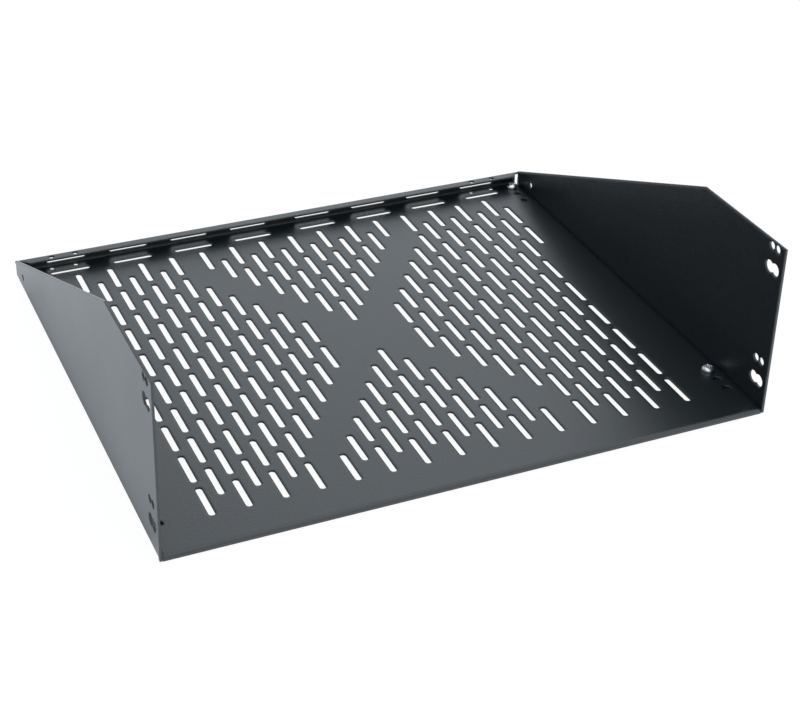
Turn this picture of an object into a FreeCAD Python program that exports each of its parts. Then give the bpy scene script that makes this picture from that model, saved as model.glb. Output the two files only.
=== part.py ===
import FreeCAD, Part
import math
import os

# Cantilever rack shelf: a slotted, folded tray screwed between two tapered side panels.
#
# X runs across the shelf, Y from its open front to its back wall, and Z up.
# The origin is the middle of the footprint, on the plane that the shelf stands on.
# All sizes are in millimetres.

# ---- overall sizes ---------------------------------------------------------------------
SHELF_WIDTH = 440.0           # over the outer faces of the two side panels
SHELF_DEPTH = 381.0           # from the panels' front edges to the back of the tray
SHEET = 1.5                   # sheet thickness of all three folded pieces
BEND_INNER = 1.0              # inner radius of every bend

# ---- side panels -----------------------------------------------------------------------
PANEL_HEIGHT = 130.5          # from the flange's underside to the level top edge
PANEL_BACK_HEIGHT = 14.5      # the same, at the back end of the sloping top edge
PANEL_LEVEL_LENGTH = 100.0    # level stretch of the top edge, from the front
PANEL_BACK_GAP = 4.0          # the panels end this far in front of the tray's back
FLANGE_WIDTH = 19.0           # bottom flange, from the panel's outer face inwards
RELIEF_WIDTH = 1.0            # slit that frees the front end of the flange's bend

# ---- holes in each side panel ----------------------------------------------------------
RACK_HOLE_SETBACK = 12.15     # from the front edge to the middle of the hole group
RACK_HOLE_STEP = 6.35         # the two holes of a pair stand this far apart
RACK_HOLE_DIAMETER = 5.9
RACK_HOLE_MARGIN = 4.15       # from the level top edge down to the upper pair
RACK_SET_DROP = 88.9          # from the upper set of holes to the lower one: two rack units
DOUBLE_HOLE_DROP = 15.875     # from a pair to the double hole below it: one rack hole pitch
DOUBLE_HOLE_DIAMETER = 9.3    # two overlapping circles make one double hole
BACK_HOLE_DIAMETER = 5.0
BACK_HOLE_SETBACK = 24.0      # from the panel's back end
BACK_HOLE_HEIGHT = 12.3       # above the flange's underside

# ---- folds of the tray -----------------------------------------------------------------
TRAY_SIDE_CLEARANCE = 0.1     # between the tray's side edge and the panel's bend
TRAY_FRONT_SETBACK = 0.3      # from the panels' front edges to the front lip
FRONT_LIP_FLAT = 1.1          # flat stretch of the front lip below its bend
FRONT_LIP_CLEARANCE = 0.4     # between the front lip's ends and the panels' webs
BACK_WALL_HEIGHT = 10.0       # from the tray's floor to the top of the back lip
BACK_LIP_WIDTH = 9.0          # from the back of the wall to the lip's front edge
BACK_BEND_INSET = 0.3         # the back lip's bend ends this far inside the outer faces
BACK_LIP_MITRE = 7.0          # taken off the lip's front edge at each end

# ---- slots in the tray -----------------------------------------------------------------
SLOT_LENGTH = 31.6
SLOT_WIDTH = 4.7
SLOT_END_WEB = 5.9            # between the ends of two slots in one column
SLOT_SIDE_WEB = 7.885         # between the sides of two neighbouring columns
FIELD_FRONT_MARGIN = 28.5     # from the panels' front edges to the first slots
FIELD_BACK_WEB = 3.0          # least width left between the field and the rear slots
FLANGE_MARGIN = 4.0           # least width left between any slot and the flange below
CROSS_ARM_COUNT = 7           # slots left out along each arm of the plain cross
CROSS_HUB_COUNT = 2           # columns left plain on each side of the cross's middle
NARROW_ROW_COUNT = 4          # the rows further back than this are one column wider

REAR_SLOT_MIDDLE_WEB = 25.0   # between the two rear slots at the middle of the shelf
REAR_SLOT_WEB = 18.9          # between all other rear slots
REAR_SLOT_SETBACK = 13.0      # from the back of the wall to the rear slots in the floor
WALL_SLOT_HEIGHT = 5.1        # from the tray's floor to the middle of the wall's slots

# ---- tie holes, in the back lip and in the floor below it ------------------------------
TIE_HOLE_DIAMETER = 4.2
TIE_HOLE_END_MARGIN = 25.0    # from the tray's side edge to the outer hole
TIE_HOLE_STEP = 19.0
TIE_HOLE_SETBACK = 5.3        # from the back of the wall

# ---- screws and nuts that hold the tray on the flanges ---------------------------------
SCREW_INSET = 9.7             # from the panel's outer face
FRONT_SCREW_SETBACK = 57.7    # from the panels' front edges
BACK_SCREW_SETBACK = 9.5      # from the back of the wall
SPARE_HOLE_STEP = 12.5        # spare holes in the tray, in front of each screw
SPARE_HOLE_COUNT = 2
SCREW_HOLE_DIAMETER = 5.5
SCREW_DIAMETER = 4.8
SCREW_TIP_SETBACK = 0.5       # the tip stays this far inside the nut
SCREW_TIP_CHAMFER = 0.6
HEAD_DIAMETER = 9.4
HEAD_HEIGHT = 3.7
HEAD_RIM_HEIGHT = 1.2         # straight stretch of the head's side
RECESS_LENGTH = 5.2
RECESS_WIDTH = 1.2
RECESS_DEPTH = 1.7
NUT_DIAMETER = 8.6
NUT_HEIGHT = 2.3              # below the flange
NUT_CHAMFER = 0.3
SPIGOT_DIAMETER = 6.3         # the nut's neck, pressed into the flange
SPIGOT_SETBACK = 0.1          # the neck ends this far below the flange's top
FIT_CLEARANCE = 0.05          # radial, round the screw and round the neck

# ---- places worked out from the sizes --------------------------------------------------
BEND_OUTER = BEND_INNER + SHEET
HALF_WIDTH = SHELF_WIDTH / 2
PANEL_INNER_X = HALF_WIDTH - SHEET
FLANGE_EDGE_X = HALF_WIDTH - FLANGE_WIDTH
TRAY_HALF = HALF_WIDTH - BEND_OUTER - TRAY_SIDE_CLEARANCE
FRONT_LIP_HALF = PANEL_INNER_X - FRONT_LIP_CLEARANCE
BACK_BEND_HALF = HALF_WIDTH - BACK_BEND_INSET
SLOT_LIMIT_X = FLANGE_EDGE_X - FLANGE_MARGIN

FRONT_Y = -SHELF_DEPTH / 2
BACK_Y = SHELF_DEPTH / 2
PANEL_BACK_Y = BACK_Y - PANEL_BACK_GAP
TRAY_FRONT_Y = FRONT_Y + TRAY_FRONT_SETBACK
TAB_BACK_Y = TRAY_FRONT_Y + BEND_OUTER
FLANGE_FRONT_Y = TAB_BACK_Y + RELIEF_WIDTH
BACK_LIP_Y = BACK_Y - BACK_LIP_WIDTH
REAR_SLOT_Y = BACK_Y - REAR_SLOT_SETBACK
SCREW_X = HALF_WIDTH - SCREW_INSET
SCREW_YS = (FRONT_Y + FRONT_SCREW_SETBACK, BACK_Y - BACK_SCREW_SETBACK)

FLANGE_BOTTOM = NUT_HEIGHT
FLANGE_TOP = FLANGE_BOTTOM + SHEET
WEB_FOOT = FLANGE_BOTTOM + BEND_OUTER
PANEL_TOP = FLANGE_BOTTOM + PANEL_HEIGHT
FLOOR_TOP = FLANGE_TOP + SHEET
FRONT_LIP_BOTTOM = FLOOR_TOP - BEND_OUTER - FRONT_LIP_FLAT
WALL_TOP = FLOOR_TOP + BACK_WALL_HEIGHT

X_AXIS = FreeCAD.Vector(1, 0, 0)
Y_AXIS = FreeCAD.Vector(0, 1, 0)
Z_AXIS = FreeCAD.Vector(0, 0, 1)
SAME_POINT = 1e-6             # points closer than this are one point


# ---- helpers ---------------------------------------------------------------------------
def vector(x, y, z):
    """Return a point."""
    return FreeCAD.Vector(x, y, z)


def rounded_face(corners):
    """Return the flat face inside (point, radius) corners, with a tangent arc at each radius."""
    ends = []
    edges = []
    for index, (corner, radius) in enumerate(corners):
        if radius == 0:
            ends.append((corner, corner))
            continue
        to_last = (corners[index - 1][0] - corner).normalize()
        to_next = (corners[(index + 1) % len(corners)][0] - corner).normalize()
        half_angle = to_last.getAngle(to_next) / 2
        start = corner + to_last * (radius / math.tan(half_angle))
        end = corner + to_next * (radius / math.tan(half_angle))
        inward = (to_last + to_next).normalize()
        middle = corner + inward * (radius / math.sin(half_angle) - radius)
        edges.append(Part.Arc(start, middle, end).toShape())
        ends.append((start, end))
    for index, (_, leave) in enumerate(ends):
        arrive = ends[(index + 1) % len(ends)][0]
        if leave.distanceToPoint(arrive) > SAME_POINT:
            edges.append(Part.LineSegment(leave, arrive).toShape())
    return Part.Face(Part.Wire(Part.__sortEdges__(edges)))


def slot_cutter(centre, along, through, depth):
    """Return a cutter for one slot, long along one axis, that reaches this far both ways."""
    base = centre - through * depth
    side = through.cross(along) * (SLOT_WIDTH / 2)
    reach = along * ((SLOT_LENGTH - SLOT_WIDTH) / 2)
    tip = along * (SLOT_LENGTH / 2)
    edges = [Part.LineSegment(base - reach - side, base + reach - side).toShape(),
             Part.Arc(base + reach - side, base + tip, base + reach + side).toShape(),
             Part.LineSegment(base + reach + side, base - reach + side).toShape(),
             Part.Arc(base - reach + side, base - tip, base - reach - side).toShape()]
    return Part.Face(Part.Wire(edges)).extrude(through * (2 * depth))


def hole_cutter(centre, through, diameter, depth):
    """Return a cutter for one round hole that reaches this far both ways."""
    return Part.makeCylinder(diameter / 2, 2 * depth, centre - through * depth, through)


def mirrored(shape):
    """Return the shape's mirror image on the other side of the shelf."""
    return shape.mirror(vector(0, 0, 0), X_AXIS)


# ---- side panels -----------------------------------------------------------------------
def panel_sheet():
    """Return the right panel without its holes: web, front tab, bend and bottom flange."""
    web = [(FRONT_Y, FLANGE_BOTTOM), (TAB_BACK_Y, FLANGE_BOTTOM), (TAB_BACK_Y, WEB_FOOT),
           (PANEL_BACK_Y, WEB_FOOT), (PANEL_BACK_Y, FLANGE_BOTTOM + PANEL_BACK_HEIGHT),
           (FRONT_Y + PANEL_LEVEL_LENGTH, PANEL_TOP), (FRONT_Y, PANEL_TOP)]
    web_face = rounded_face([(vector(PANEL_INNER_X, y, z), 0) for y, z in web])
    fold = [(HALF_WIDTH, WEB_FOOT, 0), (PANEL_INNER_X, WEB_FOOT, 0),
            (PANEL_INNER_X, FLANGE_TOP, BEND_INNER), (FLANGE_EDGE_X, FLANGE_TOP, 0),
            (FLANGE_EDGE_X, FLANGE_BOTTOM, 0), (HALF_WIDTH, FLANGE_BOTTOM, BEND_OUTER)]
    fold_face = rounded_face([(vector(x, FLANGE_FRONT_Y, z), radius) for x, z, radius in fold])
    fold_length = PANEL_BACK_Y - FLANGE_FRONT_Y
    sheet = web_face.extrude(X_AXIS * SHEET).fuse(fold_face.extrude(Y_AXIS * fold_length))
    return sheet.removeSplitter()


def rack_hole_cutters():
    """Return the cutters of the rack holes: two sets, each a pair above a double hole."""
    cutters = []
    upper_pair = PANEL_TOP - RACK_HOLE_MARGIN
    for pair_z in (upper_pair, upper_pair - RACK_SET_DROP):
        for side in (-1, 1):
            y = FRONT_Y + RACK_HOLE_SETBACK + side * RACK_HOLE_STEP / 2
            single = vector(PANEL_INNER_X, y, pair_z)
            double = vector(PANEL_INNER_X, y, pair_z - DOUBLE_HOLE_DROP)
            cutters.append(hole_cutter(single, X_AXIS, RACK_HOLE_DIAMETER, 2 * SHEET))
            cutters.append(hole_cutter(double, X_AXIS, DOUBLE_HOLE_DIAMETER, 2 * SHEET))
    return cutters


def side_panel():
    """Return the right side panel with its rack holes, back hole and nut holes."""
    cutters = rack_hole_cutters()
    back_hole = vector(PANEL_INNER_X, PANEL_BACK_Y - BACK_HOLE_SETBACK,
                       FLANGE_BOTTOM + BACK_HOLE_HEIGHT)
    cutters.append(hole_cutter(back_hole, X_AXIS, BACK_HOLE_DIAMETER, 2 * SHEET))
    nut_hole_diameter = SPIGOT_DIAMETER + 2 * FIT_CLEARANCE
    for y in SCREW_YS:
        nut_hole = vector(SCREW_X, y, FLANGE_TOP)
        cutters.append(hole_cutter(nut_hole, Z_AXIS, nut_hole_diameter, 2 * SHEET))
    return panel_sheet().cut(cutters)


# ---- tray ------------------------------------------------------------------------------
def tray_sheet():
    """Return the folded tray before its holes: front lip, floor, back wall and back lip."""
    lip_bottom = WALL_TOP - SHEET
    profile = [(TRAY_FRONT_Y, FRONT_LIP_BOTTOM, 0), (TRAY_FRONT_Y, FLOOR_TOP, BEND_OUTER),
               (BACK_Y - SHEET, FLOOR_TOP, BEND_INNER), (BACK_Y - SHEET, lip_bottom, BEND_INNER),
               (BACK_LIP_Y, lip_bottom, 0), (BACK_LIP_Y, WALL_TOP, 0),
               (BACK_Y, WALL_TOP, BEND_OUTER), (BACK_Y, FLANGE_TOP, BEND_OUTER),
               (TRAY_FRONT_Y + SHEET, FLANGE_TOP, BEND_INNER),
               (TRAY_FRONT_Y + SHEET, FRONT_LIP_BOTTOM, 0)]
    face = rounded_face([(vector(-BACK_BEND_HALF, y, z), radius) for y, z, radius in profile])
    return face.extrude(X_AXIS * (2 * BACK_BEND_HALF))


def side_cutter(inner_x, front_y, back_y, bottom_z, top_z):
    """Return a box that takes off everything outside of a plane on the shelf's right side."""
    corner = vector(inner_x, front_y, bottom_z)
    return Part.makeBox(HALF_WIDTH - inner_x, back_y - front_y, top_z - bottom_z, corner)


def end_cutters():
    """Return the cutters that shape the tray's right end: its side edges and the lip's mitre."""
    behind_y = BACK_Y + SHEET
    bend_z = WALL_TOP - BEND_OUTER
    above_z = WALL_TOP + SHEET
    mitre = [(TRAY_HALF, BACK_Y - BEND_OUTER), (TRAY_HALF - BACK_LIP_MITRE, BACK_LIP_Y),
             (TRAY_HALF, BACK_LIP_Y)]
    mitre_face = rounded_face([(vector(x, y, bend_z), 0) for x, y in mitre])
    return [side_cutter(FRONT_LIP_HALF, FRONT_Y, TAB_BACK_Y, 0, above_z),
            side_cutter(TRAY_HALF, TAB_BACK_Y, behind_y, 0, bend_z),
            side_cutter(TRAY_HALF, TAB_BACK_Y, BACK_Y - BEND_OUTER, bend_z, above_z),
            mitre_face.extrude(Z_AXIS * BACK_WALL_HEIGHT)]


def is_plain(column, row, columns):
    """Tell whether a place in the slot field, counted from its middle, stays bare."""
    if (column + row) % 2 == 1:
        return True
    if row == 0:
        return abs(column) <= CROSS_HUB_COUNT or abs(column) > columns
    if abs(column) > columns:
        return row <= NARROW_ROW_COUNT
    return abs(column) == abs(row) and abs(row) <= CROSS_ARM_COUNT


def field_cutters():
    """Return the cutters of the staggered slot field, with a plain diagonal cross in it."""
    column_step = SLOT_WIDTH + SLOT_SIDE_WEB
    row_step = (SLOT_LENGTH + SLOT_END_WEB) / 2
    columns = int((SLOT_LIMIT_X - SLOT_WIDTH / 2) / column_step) - 1
    first_y = FRONT_Y + FIELD_FRONT_MARGIN + SLOT_LENGTH / 2
    last_y = REAR_SLOT_Y - SLOT_WIDTH / 2 - FIELD_BACK_WEB - SLOT_LENGTH / 2
    rows = int((last_y - first_y) / (2 * row_step))
    cutters = []
    for row in range(-rows, rows + 1):
        y = first_y + (row + rows) * row_step
        for column in range(-columns - 1, columns + 2):
            if not is_plain(column, row, columns):
                centre = vector(column * column_step, y, FLOOR_TOP)
                cutters.append(slot_cutter(centre, Y_AXIS, Z_AXIS, 2 * SHEET))
    return cutters


def rear_slot_cutters():
    """Return the cutters of the rear slots, in the floor and above them in the back wall."""
    cutters = []
    x = (REAR_SLOT_MIDDLE_WEB + SLOT_LENGTH) / 2
    while x + SLOT_LENGTH / 2 < SLOT_LIMIT_X:
        for side in (-1, 1):
            in_floor = vector(side * x, REAR_SLOT_Y, FLOOR_TOP)
            in_wall = vector(side * x, BACK_Y, FLOOR_TOP + WALL_SLOT_HEIGHT)
            cutters.append(slot_cutter(in_floor, X_AXIS, Z_AXIS, 2 * SHEET))
            cutters.append(slot_cutter(in_wall, X_AXIS, Y_AXIS, 2 * SHEET))
        x += SLOT_LENGTH + REAR_SLOT_WEB
    return cutters


def tray_hole_cutters():
    """Return the cutters of the right half's tie holes, screw holes and spare holes."""
    cutters = []
    height = 2 * (WALL_TOP - FLOOR_TOP)
    for x in (TRAY_HALF - TIE_HOLE_END_MARGIN, TRAY_HALF - TIE_HOLE_END_MARGIN - TIE_HOLE_STEP):
        tie_hole = vector(x, BACK_Y - TIE_HOLE_SETBACK, FLOOR_TOP)
        cutters.append(hole_cutter(tie_hole, Z_AXIS, TIE_HOLE_DIAMETER, height))
    for screw_y in SCREW_YS:
        for index in range(SPARE_HOLE_COUNT + 1):
            hole = vector(SCREW_X, screw_y - index * SPARE_HOLE_STEP, FLOOR_TOP)
            cutters.append(hole_cutter(hole, Z_AXIS, SCREW_HOLE_DIAMETER, 2 * SHEET))
    return cutters


def tray():
    """Return the finished tray."""
    right_half = end_cutters() + tray_hole_cutters()
    left_half = [mirrored(cutter) for cutter in right_half]
    return tray_sheet().cut(right_half + left_half + field_cutters() + rear_slot_cutters())


# ---- fasteners -------------------------------------------------------------------------
def screw(x, y):
    """Return a pan-head screw with a cross recess, its head on the tray's floor."""
    centre = vector(x, y, FLOOR_TOP)
    head = Part.makeCylinder(HEAD_DIAMETER / 2, HEAD_HEIGHT, centre)
    top_edge = [edge for edge in head.Edges if edge.BoundBox.ZMin > FLOOR_TOP + HEAD_HEIGHT / 2]
    head = head.makeFillet(HEAD_HEIGHT - HEAD_RIM_HEIGHT, top_edge)
    length = FLOOR_TOP - SCREW_TIP_SETBACK
    shank = Part.makeCylinder(SCREW_DIAMETER / 2, length, centre, -Z_AXIS)
    tip_edge = [edge for edge in shank.Edges if edge.BoundBox.ZMax < FLOOR_TOP - length / 2]
    shank = shank.makeChamfer(SCREW_TIP_CHAMFER, tip_edge)
    recess_z = FLOOR_TOP + HEAD_HEIGHT - RECESS_DEPTH
    arm_x = Part.makeBox(RECESS_LENGTH, RECESS_WIDTH, HEAD_HEIGHT,
                         vector(x - RECESS_LENGTH / 2, y - RECESS_WIDTH / 2, recess_z))
    arm_y = Part.makeBox(RECESS_WIDTH, RECESS_LENGTH, HEAD_HEIGHT,
                         vector(x - RECESS_WIDTH / 2, y - RECESS_LENGTH / 2, recess_z))
    return head.fuse(shank).cut([arm_x, arm_y]).removeSplitter()


def clinch_nut(x, y):
    """Return a round nut under the flange, with its neck pressed up into the flange."""
    centre = vector(x, y, 0)
    body = Part.makeCylinder(NUT_DIAMETER / 2, NUT_HEIGHT, centre)
    foot_edge = [edge for edge in body.Edges if edge.BoundBox.ZMax < NUT_HEIGHT / 2]
    body = body.makeChamfer(NUT_CHAMFER, foot_edge)
    neck = Part.makeCylinder(SPIGOT_DIAMETER / 2, FLANGE_TOP - SPIGOT_SETBACK, centre)
    bore = hole_cutter(centre, Z_AXIS, SCREW_DIAMETER + 2 * FIT_CLEARANCE, 2 * FLANGE_TOP)
    return body.fuse(neck).cut(bore).removeSplitter()


def at_every_screw(maker):
    """Return one compound of the pieces that a function makes at the four screw places."""
    return Part.makeCompound([maker(side * SCREW_X, y) for side in (-1, 1) for y in SCREW_YS])


# ---- files -----------------------------------------------------------------------------
right_panel = side_panel()
NODES = {
    "tray": tray(),
    "side_panel_right": right_panel,
    "side_panel_left": mirrored(right_panel),
    "screws": at_every_screw(screw),
    "clinch_nuts": at_every_screw(clinch_nut),
}

os.makedirs("parts", exist_ok=True)
for name, shape in NODES.items():
    shape.exportStep("parts/" + name + ".step")
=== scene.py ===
"""Dresses the cantilever rack shelf: black powder coat, zinc-plated screws and nuts, studio."""

import logging
import math
from dataclasses import dataclass, field
from enum import Enum
from typing import Callable, Sequence, Union

import bpy
from mathutils import Matrix, Vector


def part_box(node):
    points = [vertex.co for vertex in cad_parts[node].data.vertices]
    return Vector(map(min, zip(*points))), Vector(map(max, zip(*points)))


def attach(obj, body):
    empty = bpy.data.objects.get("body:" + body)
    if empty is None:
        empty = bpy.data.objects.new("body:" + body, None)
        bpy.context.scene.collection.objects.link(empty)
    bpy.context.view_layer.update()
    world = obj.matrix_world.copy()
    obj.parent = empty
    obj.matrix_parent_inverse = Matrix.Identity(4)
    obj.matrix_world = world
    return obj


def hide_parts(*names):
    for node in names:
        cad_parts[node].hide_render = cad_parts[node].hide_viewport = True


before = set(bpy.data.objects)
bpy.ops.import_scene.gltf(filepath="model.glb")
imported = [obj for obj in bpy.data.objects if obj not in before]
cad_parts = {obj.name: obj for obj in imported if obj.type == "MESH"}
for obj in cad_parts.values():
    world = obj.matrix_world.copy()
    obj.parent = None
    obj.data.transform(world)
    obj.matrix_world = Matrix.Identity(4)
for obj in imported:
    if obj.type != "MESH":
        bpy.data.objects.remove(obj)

LOG = logging.getLogger("rack_shelf")
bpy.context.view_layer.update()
MM = 0.001                         # one millimetre, in metres
BODY = "root"                      # the part's one body
SMOOTH_LIMIT = math.radians(38.0)  # edges that fold more sharply than this stay sharp


# ---- shader maths ----------------------------------------------------------------------
class Signal:
    """One output socket that takes part in shader expressions."""

    def __init__(self, shader: "Shader", socket: bpy.types.NodeSocket) -> None:
        """Keeps the socket and the shader that it belongs to.

        Args:
            shader: the shader that is being built.
            socket: the output socket.
        """
        self.shader = shader
        self.socket = socket

    def beside(self, output: str) -> "Signal":
        """Returns another output of the same node, by name."""
        return Signal(self.shader, self.socket.node.outputs[output])

    def _math(self, operation: str, first: "Operand", second: "Operand") -> "Signal":
        """Adds one Math node.

        Args:
            operation: the node's operation.
            first: first operand.
            second: second operand.

        Returns:
            The node's output.
        """
        return self.shader.node("Math", {"operation": operation}, {0: first, 1: second})

    def __add__(self, other: "Operand") -> "Signal":
        """Returns self + other."""
        return self._math("ADD", self, other)

    def __radd__(self, other: "Operand") -> "Signal":
        """Returns other + self."""
        return self._math("ADD", other, self)

    def __sub__(self, other: "Operand") -> "Signal":
        """Returns self - other."""
        return self._math("SUBTRACT", self, other)

    def __rsub__(self, other: "Operand") -> "Signal":
        """Returns other - self."""
        return self._math("SUBTRACT", other, self)

    def __mul__(self, other: "Operand") -> "Signal":
        """Returns self * other."""
        return self._math("MULTIPLY", self, other)

    def __rmul__(self, other: "Operand") -> "Signal":
        """Returns other * self."""
        return self._math("MULTIPLY", other, self)


Operand = Union[Signal, float]
Triple = tuple[float, float, float]
Colour = Union[Signal, Triple]


class Shader:
    """Builds one material's or the world's node tree."""

    def __init__(self, tree: bpy.types.NodeTree) -> None:
        """Empties the tree.

        Args:
            tree: node tree to fill.
        """
        self.tree = tree
        self.tree.nodes.clear()

    def node(self, kind: str, settings: dict, inputs: dict,
             output: Union[int, str] = 0) -> Signal:
        """Adds one node of any type.

        Args:
            kind: the node's type, without its ShaderNode prefix.
            settings: properties of the node, which are set first; "stops" fills a ramp.
            inputs: values or Signals by input name or number.
            output: name or number of the output that is wanted.

        Returns:
            That output.
        """
        added = self.tree.nodes.new("ShaderNode" + kind)
        for name, value in settings.items():
            if name == "stops":
                self._fill_ramp(added.color_ramp, value)
            else:
                setattr(added, name, value)
        for name, value in inputs.items():
            if isinstance(value, Signal):
                self.tree.links.new(value.socket, added.inputs[name])
            else:
                added.inputs[name].default_value = value
        if not added.outputs:
            return Signal(self, None)
        return Signal(self, added.outputs[output])

    @staticmethod
    def _fill_ramp(ramp: bpy.types.ColorRamp, stops: Sequence[tuple[float, float]]) -> None:
        """Gives a colour ramp grey stops.

        Args:
            ramp: the ramp.
            stops: place and grey value of each stop.
        """
        while len(ramp.elements) < len(stops):
            ramp.elements.new(1.0)
        for element, (place, grey) in zip(ramp.elements, stops):
            element.position = place
            element.color = (grey, grey, grey, 1.0)

    def noise(self, place: Signal, per_metre: float, detail: float) -> Signal:
        """Adds a noise texture.

        Args:
            place: coordinates in metres.
            per_metre: cells per metre.
            detail: octaves.

        Returns:
            The noise, from 0 to 1.
        """
        return self.node("TexNoise", {}, {"Vector": place, "Scale": per_metre, "Detail": detail})

    def mix_colour(self, mask: Signal, low: "Colour", high: "Colour") -> Signal:
        """Mixes two colours.

        Args:
            mask: 0 gives the first colour and 1 the second.
            low: first colour.
            high: second colour.

        Returns:
            The mixed colour.
        """
        low, high = (colour if isinstance(colour, Signal) else (*colour, 1.0)
                     for colour in (low, high))
        return self.node("Mix", {"data_type": "RGBA"}, {0: mask, 6: low, 7: high}, 2)


def new_material(name: str) -> tuple[bpy.types.Material, Shader]:
    """Makes an empty node material.

    Args:
        name: the material's name.

    Returns:
        The material and its shader.
    """
    material = bpy.data.materials.new(name)
    material.use_nodes = True
    return material, Shader(material.node_tree)


# ---- finishes --------------------------------------------------------------------------
@dataclass(frozen=True)
class PowderCoat:
    """Satin black powder coat: fine grain, slight orange peel, and edges that the coat rounds.

    Scales are cells per metre, heights and radii metres.
    """

    name: str = "black_powder_coat"
    deep: Triple = (0.0001, 0.0025, 0.0036)
    pale: Triple = (0.0003, 0.0039, 0.0052)
    roughness: float = 0.36
    roughness_swing: float = 0.06
    refraction: float = 1.7
    clouds_per_metre: float = 14.0
    clouds_octaves: float = 4.0
    grain_per_metre: float = 900.0
    grain_octaves: float = 2.0
    grain_height: float = 0.130 * MM
    peel_per_metre: float = 260.0
    peel_octaves: float = 3.0
    peel_height: float = 0.020 * MM
    edge_radius: float = 2.5 * MM
    edge_samples: int = 4

    def build(self) -> bpy.types.Material:
        """Builds the coat.

        Returns:
            The finished material.
        """
        material, shader = new_material(self.name)
        place = shader.node("TexCoord", {}, {}, "Object")
        clouds = shader.noise(place, self.clouds_per_metre, self.clouds_octaves)
        grain = shader.noise(place, self.grain_per_metre, self.grain_octaves)
        peel = shader.noise(place, self.peel_per_metre, self.peel_octaves)
        edge = shader.node("Bevel", {"samples": self.edge_samples}, {"Radius": self.edge_radius})
        height = grain * self.grain_height + peel * self.peel_height
        normal = shader.node("Bump", {}, {"Distance": 1.0, "Height": height, "Normal": edge})
        surface = shader.node("BsdfPrincipled", {}, {
            "Base Color": shader.mix_colour(clouds, self.deep, self.pale),
            "Roughness": self.roughness + (clouds + grain - 1.0) * self.roughness_swing,
            "IOR": self.refraction,
            "Normal": normal})
        shader.node("OutputMaterial", {}, {"Surface": surface})
        return material


@dataclass(frozen=True)
class ZincPlate:
    """Bright zinc plate on turned and pressed steel.

    Scales are cells per metre, heights metres.
    """

    name: str = "bright_zinc_plate"
    bright: Triple = (0.78, 0.79, 0.80)
    dull: Triple = (0.55, 0.56, 0.58)
    roughness: float = 0.24
    roughness_swing: float = 0.16
    stains_per_metre: float = 700.0
    stains_octaves: float = 4.0
    grain_per_metre: float = 5200.0
    grain_octaves: float = 2.0
    grain_height: float = 0.006 * MM

    def build(self) -> bpy.types.Material:
        """Builds the plating.

        Returns:
            The finished material.
        """
        material, shader = new_material(self.name)
        place = shader.node("TexCoord", {}, {}, "Object")
        stains = shader.noise(place, self.stains_per_metre, self.stains_octaves)
        grain = shader.noise(place, self.grain_per_metre, self.grain_octaves)
        normal = shader.node("Bump", {}, {"Distance": 1.0, "Height": grain * self.grain_height})
        surface = shader.node("BsdfPrincipled", {}, {
            "Base Color": shader.mix_colour(stains, self.dull, self.bright),
            "Metallic": 1.0,
            "Roughness": self.roughness + (stains - 0.5) * self.roughness_swing,
            "Normal": normal})
        shader.node("OutputMaterial", {}, {"Surface": surface})
        return material


# ---- sheet-metal pieces ----------------------------------------------------------------
class SheetPiece(Enum):
    """The folded sheets, by the names of their nodes."""

    TRAY = "tray"
    LEFT_PANEL = "side_panel_left"
    RIGHT_PANEL = "side_panel_right"


@dataclass
class FoldedSheets:
    """The tray and the two side panels, which keep the shapes of their nodes."""

    pieces: tuple[SheetPiece, ...] = tuple(SheetPiece)

    def dress(self, finish: bpy.types.Material) -> list[bpy.types.Object]:
        """Gives every sheet its finish.

        Args:
            finish: the coat.

        Returns:
            The sheets' objects.
        """
        objects = [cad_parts[piece.value] for piece in self.pieces]
        for sheet in objects:
            sheet.data.materials.clear()
            sheet.data.materials.append(finish)
        return objects


# ---- fasteners -------------------------------------------------------------------------
@dataclass
class MeshSketch:
    """Vertices and faces of one piece, added ring by ring, in millimetres."""

    points: list[Triple] = field(default_factory=list)
    faces: list[tuple[int, ...]] = field(default_factory=list)

    def ring(self, points: Sequence[Triple]) -> list[int]:
        """Adds one closed ring of vertices.

        Args:
            points: the ring's points, anticlockwise as seen from above.

        Returns:
            Their numbers.
        """
        first = len(self.points)
        self.points.extend(points)
        return list(range(first, len(self.points)))

    def skin(self, inner: Sequence[int], outer: Sequence[int]) -> None:
        """Joins two rings of the same length with quads.

        Args:
            inner: the ring that is closer to the start of the outline.
            outer: the next ring.
        """
        for index, corner in enumerate(inner):
            following = (index + 1) % len(inner)
            self.faces.append((corner, outer[index], outer[following], inner[following]))

    def close(self, ring: Sequence[int], point: Triple, faces_up: bool) -> None:
        """Closes a ring with a fan of triangles.

        Args:
            ring: the ring.
            point: the fan's middle.
            faces_up: whether the fan faces up.
        """
        middle = len(self.points)
        self.points.append(point)
        for index, corner in enumerate(ring):
            following = ring[(index + 1) % len(ring)]
            self.faces.append((corner, following, middle) if faces_up
                              else (following, corner, middle))

    def to_object(self, name: str, finish: bpy.types.Material) -> bpy.types.Object:
        """Makes the object and lets it ride on the shelf.

        Args:
            name: the object's name.
            finish: its material.

        Returns:
            The object.
        """
        mesh = bpy.data.meshes.new(name)
        points = [tuple(value * MM for value in point) for point in self.points]
        mesh.from_pydata(points, [], self.faces)
        mesh.validate()
        mesh.materials.append(finish)
        mesh.polygons.foreach_set("use_smooth", [True] * len(mesh.polygons))
        mesh.set_sharp_from_angle(angle=SMOOTH_LIMIT)
        piece = bpy.data.objects.new(name, mesh)
        bpy.context.scene.collection.objects.link(piece)
        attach(piece, BODY)
        return piece


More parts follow.
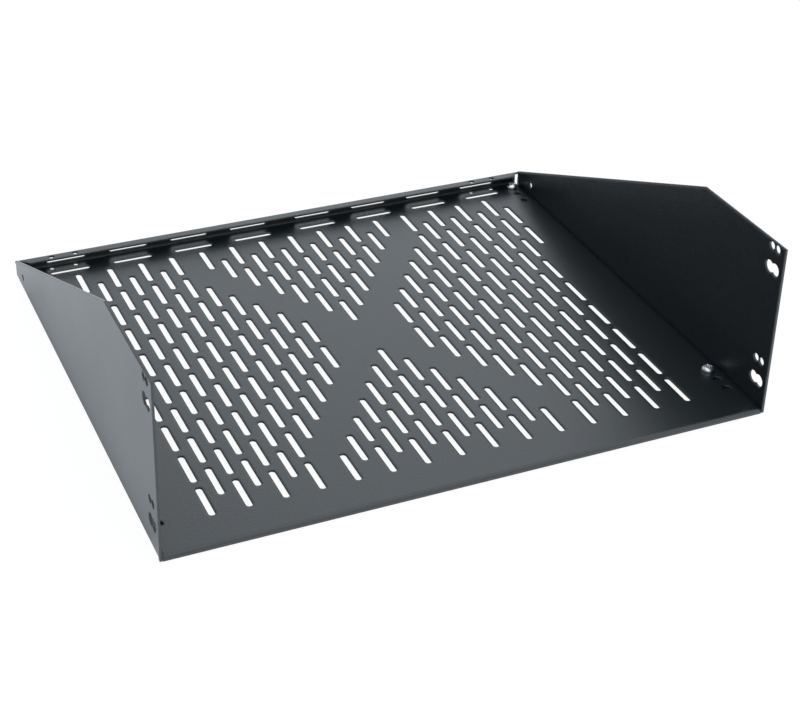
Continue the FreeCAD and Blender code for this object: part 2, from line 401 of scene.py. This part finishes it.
def circle(centre: tuple[float, float], count: int, radius: Callable[[float], float],
           height: Callable[[float], float]) -> list[Triple]:
    """Works out one ring round an upright axis.

    Args:
        centre: the axis, as X and Y.
        count: number of points.
        radius: radius by angle.
        height: height by angle.

    Returns:
        The ring's points.
    """
    angles = [2 * math.pi * index / count for index in range(count)]
    return [(centre[0] + radius(angle) * math.cos(angle),
             centre[1] + radius(angle) * math.sin(angle), height(angle)) for angle in angles]


def fade(value: float) -> float:
    """Returns a smooth step from 0 at 0 and below to 1 at 1 and above."""
    value = min(max(value, 0.0), 1.0)
    return value * value * (3 - 2 * value)


@dataclass
class PanHeadScrews:
    """The four screws that hold the tray on the flanges: domed heads, cross recesses, threads.

    Lengths are in millimetres and turns in radians.
    """

    head_radius: float = 4.7
    head_height: float = 3.7
    rim_height: float = 1.1
    dome_power: float = 2.6
    rim_round: float = 0.25
    recess_reach: float = 2.75
    recess_half_width: float = 0.46
    recess_wall: float = 0.34
    recess_depth: float = 1.9
    recess_rise: float = 0.55
    shank_radius: float = 2.4
    thread_pitch: float = 0.8
    thread_depth: float = 0.40
    tip_chamfer: float = 0.6
    ring_points: int = 96
    head_rings: int = 30
    rim_crowding: float = 1.1
    rings_per_pitch: int = 8
    driven_turns: tuple[float, ...] = (0.31, 1.22, 1.155, 0.37)

    def _recess(self, x: float, y: float) -> float:
        """Works out how deep the cross recess is at a place on the head.

        Args:
            x: distance from the screw's axis along one arm of the cross.
            y: the same along the other arm.

        Returns:
            The depth below the dome.
        """
        deepest = 0.0
        for along, across in ((x, y), (y, x)):
            along = abs(along)
            across = abs(across)
            wall = fade((self.recess_half_width + self.recess_wall - across) / self.recess_wall)
            end = fade((self.recess_reach - along) / self.recess_wall)
            floor = 1 - self.recess_rise * (along / self.recess_reach) ** 2
            deepest = max(deepest, self.recess_depth * wall * end * floor)
        return deepest

    def _dome(self, radius: float) -> float:
        """Returns the dome's height above the head's underside at a radius."""
        inside = 1 - (radius / self.head_radius) ** self.dome_power
        return self.rim_height + (self.head_height - self.rim_height) * math.sqrt(max(inside, 0.0))

    def _head(self, sketch: MeshSketch, centre: tuple[float, float], seat: float,
              turn: float) -> list[int]:
        """Adds one head.

        Args:
            sketch: gets the head.
            centre: the screw's axis, as X and Y.
            seat: height of the head's underside.
            turn: angle of the cross recess.

        Returns:
            The ring where the shank meets the head.
        """
        def top(radius: float) -> Callable[[float], float]:
            """Returns the height by angle at a radius."""
            dome = seat + self._dome(radius)
            return lambda angle: dome - self._recess(radius * math.cos(angle - turn),
                                                     radius * math.sin(angle - turn))

        rings = []
        for index in range(1, self.head_rings + 1):
            share = index / self.head_rings
            radius = self.head_radius * math.sin(share * math.pi / 2) ** self.rim_crowding
            rings.append(sketch.ring(
                circle(centre, self.ring_points, lambda _: radius, top(radius))))
        sketch.close(rings[0], (*centre, seat + self.head_height - self.recess_depth), True)
        under_radius = self.head_radius - self.rim_round
        for radius, height in ((self.head_radius, seat + self.rim_round), (under_radius, seat),
                               (self.shank_radius, seat)):
            rings.append(sketch.ring(
                circle(centre, self.ring_points, lambda _: radius, lambda _: height)))
        for inner, outer in zip(rings, rings[1:]):
            sketch.skin(inner, outer)
        return rings[-1]

    def _shank(self, sketch: MeshSketch, centre: tuple[float, float], seat: float,
               tip: float, neck: list[int]) -> None:
        """Adds one threaded shank.

        Args:
            sketch: gets the shank.
            centre: the screw's axis, as X and Y.
            seat: height of the head's underside.
            tip: height of the shank's end.
            neck: the ring where the shank meets the head.
        """
        count = round((seat - tip) / self.thread_pitch * self.rings_per_pitch)
        last = neck
        for index in range(1, count + 1):
            height = seat - (seat - tip) * index / count
            taper = fade(1 - (height - tip) / self.tip_chamfer)
            crest = self.shank_radius - self.tip_chamfer * taper

            def thread(angle: float) -> float:
                """Returns the thread's radius by angle."""
                phase = (height / self.thread_pitch - angle / (2 * math.pi)) % 1.0
                return crest - self.thread_depth * abs(2 * phase - 1)

            ring = sketch.ring(circle(centre, self.ring_points, thread, lambda _: height))
            sketch.skin(last, ring)
            last = ring
        sketch.close(last, (*centre, tip), False)

    def build(self, finish: bpy.types.Material) -> bpy.types.Object:
        """Builds the screws in place of their node.

        Args:
            finish: the plating.

        Returns:
            The object.
        """
        lowest, highest = (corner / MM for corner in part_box("screws"))
        seat = highest.z - self.head_height
        sketch = MeshSketch()
        places = [(x, y) for x in (lowest.x + self.head_radius, highest.x - self.head_radius)
                  for y in (lowest.y + self.head_radius, highest.y - self.head_radius)]
        for centre, turn in zip(places, self.driven_turns):
            neck = self._head(sketch, centre, seat, turn)
            self._shank(sketch, centre, seat, lowest.z, neck)
        piece = sketch.to_object("pan_head_screws", finish)
        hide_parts("screws")
        return piece


@dataclass
class ClinchNuts:
    """The four nuts under the flanges: round bodies, pressed-in necks and chamfered bores.

    Lengths are in millimetres.
    """

    body_radius: float = 4.3
    body_height: float = 2.3
    neck_radius: float = 3.15
    neck_top: float = 3.7
    bore_radius: float = 2.45
    chamfer: float = 0.3
    bore_chamfer: float = 0.45
    ring_points: int = 72

    def build(self, finish: bpy.types.Material) -> bpy.types.Object:
        """Builds the nuts in place of their node.

        Args:
            finish: the plating.

        Returns:
            The object.
        """
        lowest, highest = (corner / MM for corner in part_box("clinch_nuts"))
        outline = ((self.neck_radius, self.neck_top), (self.neck_radius, self.body_height),
                   (self.body_radius - self.chamfer / 2, self.body_height),
                   (self.body_radius, self.body_height - self.chamfer / 2),
                   (self.body_radius, self.chamfer), (self.body_radius - self.chamfer, 0.0),
                   (self.bore_radius + self.bore_chamfer, 0.0),
                   (self.bore_radius, self.bore_chamfer), (self.bore_radius, self.neck_top))
        sketch = MeshSketch()
        for x in (lowest.x + self.body_radius, highest.x - self.body_radius):
            for y in (lowest.y + self.body_radius, highest.y - self.body_radius):
                rings = [sketch.ring(circle((x, y), self.ring_points, lambda _: radius,
                                            lambda _: lowest.z + height))
                         for radius, height in outline]
                for inner, outer in zip(rings, rings[1:] + rings[:1]):
                    sketch.skin(inner, outer)
        piece = sketch.to_object("round_clinch_nuts", finish)
        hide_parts("clinch_nuts")
        return piece


# ---- studio ----------------------------------------------------------------------------
@dataclass(frozen=True)
class SoftLight:
    """A broad patch of light in the white surroundings.

    Its edge and core are cosines of the angle from its middle.
    """

    direction: Triple
    colour: Triple
    edge: float
    core: float


@dataclass
class Studio:
    """White surroundings: a floor under the shelf, an even light from all round and soft patches.

    Lengths are in metres. In reflections the floor shows a painted shadow under the shelf and a
    painted gleam
    round it: shade_stops fades from the painted shadow to the painted gleam, by the distance from
    the floor's middle over shade_half_size, times shade_scale. The reaches are the depths between
    which the painted gleam turns into the brighter painted light of the front or the back.
    """

    floor_size: float = 40.0
    floor_grey: float = 0.80
    floor_white: float = 1.05
    shadow_share: float = 0.10
    # Painted light and shade, seen only in reflections: a gleam round the shelf, brighter at the
    # front and the back, and a shadow under the shelf (floor_shade).
    floor_gleam: Triple = (1.13, 1.21, 1.29)
    front_gleam: Triple = (1.56, 1.67, 1.78)
    front_reach: tuple[float, float] = (-0.188, -0.198)
    back_gleam: Triple = (1.35, 1.45, 1.54)
    back_reach: tuple[float, float] = (0.05, 0.24)
    floor_shade: Triple = (0.33, 0.37, 0.41)
    shade_half_size: Triple = (0.227, 0.165, 1.0)
    shade_scale: float = 0.8
    shade_stops: tuple[tuple[float, float], ...] = ((0.76, 0.0), (0.80, 0.70), (0.95, 1.0))
    backdrop: Triple = (1.0, 1.0, 1.0)
    even_light: Triple = (0.50, 0.55, 0.60)
    back_light: SoftLight = SoftLight((0.41, 0.85, 0.31), (1.50, 1.60, 1.70), 0.86, 1.0)
    top_light: SoftLight = SoftLight((0.25, -0.25, 0.93), (1.45, 1.55, 1.64), 0.45, 0.85)

    def _painted_floor_reflection(self, shader: Shader) -> Signal:
        """Works out the floor's colour in reflections: a painted shadow under the shelf and
        painted light round it.

        Args:
            shader: the floor's shader.

        Returns:
            The colour.
        """
        place = shader.node("TexCoord", {}, {}, "Object")
        share = shader.node("VectorMath", {"operation": "DIVIDE"},
                            {0: place, 1: self.shade_half_size})
        size = shader.node("VectorMath", {"operation": "ABSOLUTE"}, {0: share})
        across = shader.node("SeparateXYZ", {}, {0: size}, "X")
        reach = shader.node("Math", {"operation": "MAXIMUM"}, {0: across, 1: across.beside("Y")})
        open_floor = shader.node("ValToRGB", {"stops": self.shade_stops},
                                 {0: reach * self.shade_scale})
        depth = shader.node("SeparateXYZ", {}, {0: place}, "Y")
        gleam = self.floor_gleam
        for colour, (start, end) in ((self.front_gleam, self.front_reach),
                                     (self.back_gleam, self.back_reach)):
            towards = shader.node("MapRange", {}, {
                "Value": depth, "From Min": start, "From Max": end})
            gleam = shader.mix_colour(towards, gleam, colour)
        return shader.mix_colour(open_floor, self.floor_shade, gleam)

    def build_floor(self) -> bpy.types.Object:
        """Builds the floor: white with a faint shadow from above, clear from below.

        Returns:
            The floor's object.
        """
        material, shader = new_material("studio_floor")
        camera = shader.node("LightPath", {}, {}, "Is Camera Ray")
        glossy = camera.beside("Is Glossy Ray")
        seen = shader.node("Math", {"operation": "ADD", "use_clamp": True}, {
            0: camera + glossy, 1: camera.beside("Is Transmission Ray")})
        seen = seen * (1.0 - self.shadow_share)
        matt = shader.node("BsdfDiffuse", {}, {"Color": (*(self.floor_grey,) * 3, 1.0)})
        # Camera rays see the plain white floor, and glossy rays see the painted shadow and painted
        # gleam.
        white_and_painted_reflection = shader.mix_colour(glossy, (self.floor_white,) * 3, self._painted_floor_reflection(shader))
        white = shader.node("Emission", {}, {"Color": white_and_painted_reflection, "Strength": 1.0})
        upper = shader.node("MixShader", {}, {0: seen, 1: matt, 2: white})
        below = shader.node("NewGeometry", {}, {}, "Backfacing")
        clear = shader.node("BsdfTransparent", {}, {})
        surface = shader.node("MixShader", {}, {0: below, 1: upper, 2: clear})
        shader.node("OutputMaterial", {}, {"Surface": surface})
        mesh = bpy.data.meshes.new("studio_floor")
        half = self.floor_size / 2
        mesh.from_pydata([(-half, -half, 0), (half, -half, 0), (half, half, 0), (-half, half, 0)],
                         [], [(0, 1, 2, 3)])
        mesh.materials.append(material)
        floor = bpy.data.objects.new("studio_floor", mesh)
        bpy.context.scene.collection.objects.link(floor)
        return floor

    def build_world(self) -> bpy.types.World:
        """Builds the white surroundings.

        Returns:
            The world.
        """
        world = bpy.data.worlds.new("studio")
        world.use_nodes = True
        shader = Shader(world.node_tree)
        direction = shader.node("TexCoord", {}, {}, "Generated")
        light = self.even_light
        for patch in (self.back_light, self.top_light):
            towards = shader.node("VectorMath", {"operation": "DOT_PRODUCT"}, {
                0: direction, 1: tuple(Vector(patch.direction).normalized())}, "Value")
            glow = shader.node("MapRange", {"interpolation_type": "SMOOTHSTEP"}, {
                "Value": towards, "From Min": patch.edge, "From Max": patch.core})
            light = shader.mix_colour(glow, light, patch.colour)
        seen = shader.node("LightPath", {}, {}, "Is Camera Ray")
        colour = shader.mix_colour(seen, light, self.backdrop)
        background = shader.node("Background", {}, {"Color": colour})
        shader.node("OutputWorld", {}, {"Surface": background})
        bpy.context.scene.world = world
        return world


@dataclass
class Viewpoint:
    """A camera above and to the left of the shelf's open front, with its place in metres."""

    place: Triple = (-0.44687, -1.02462, 0.69519)
    forward: Triple = (0.364448, 0.794001, -0.486559)
    up: Triple = (0.176277, 0.454225, 0.873273)
    lens_mm: float = 79.568
    sensor_mm: float = 36.0
    shift_x: float = -0.0007
    shift_y: float = -0.1327
    near_limit: float = 0.01

    def build(self) -> bpy.types.Object:
        """Builds the camera and sets it as the scene's.

        Returns:
            The camera.
        """
        data = bpy.data.cameras.new("viewpoint")
        data.lens = self.lens_mm
        data.sensor_width = self.sensor_mm
        data.shift_x = self.shift_x
        data.shift_y = self.shift_y
        data.clip_start = self.near_limit
        camera = bpy.data.objects.new("viewpoint", data)
        bpy.context.scene.collection.objects.link(camera)
        back = -Vector(self.forward).normalized()
        right = Vector(self.up).cross(back).normalized()
        up = back.cross(right)
        turn = Matrix((right, up, back)).transposed().to_4x4()
        camera.matrix_world = Matrix.Translation(self.place) @ turn
        bpy.context.scene.camera = camera
        return camera


def main() -> None:
    """Builds the studio and dresses every piece."""
    logging.basicConfig(level=logging.INFO, format="%(name)s: %(message)s")
    bpy.context.scene.view_settings.view_transform = "Standard"
    coat = PowderCoat().build()
    zinc = ZincPlate().build()
    pieces = FoldedSheets().dress(coat)
    pieces.append(PanHeadScrews().build(zinc))
    pieces.append(ClinchNuts().build(zinc))
    for piece in pieces:
        LOG.info("%s: %d faces in %s", piece.name, len(piece.data.polygons),
                 piece.data.materials[0].name)
    studio = Studio()
    studio.build_floor()
    studio.build_world()
    Viewpoint().build()


if __name__ == "__main__":
    main()
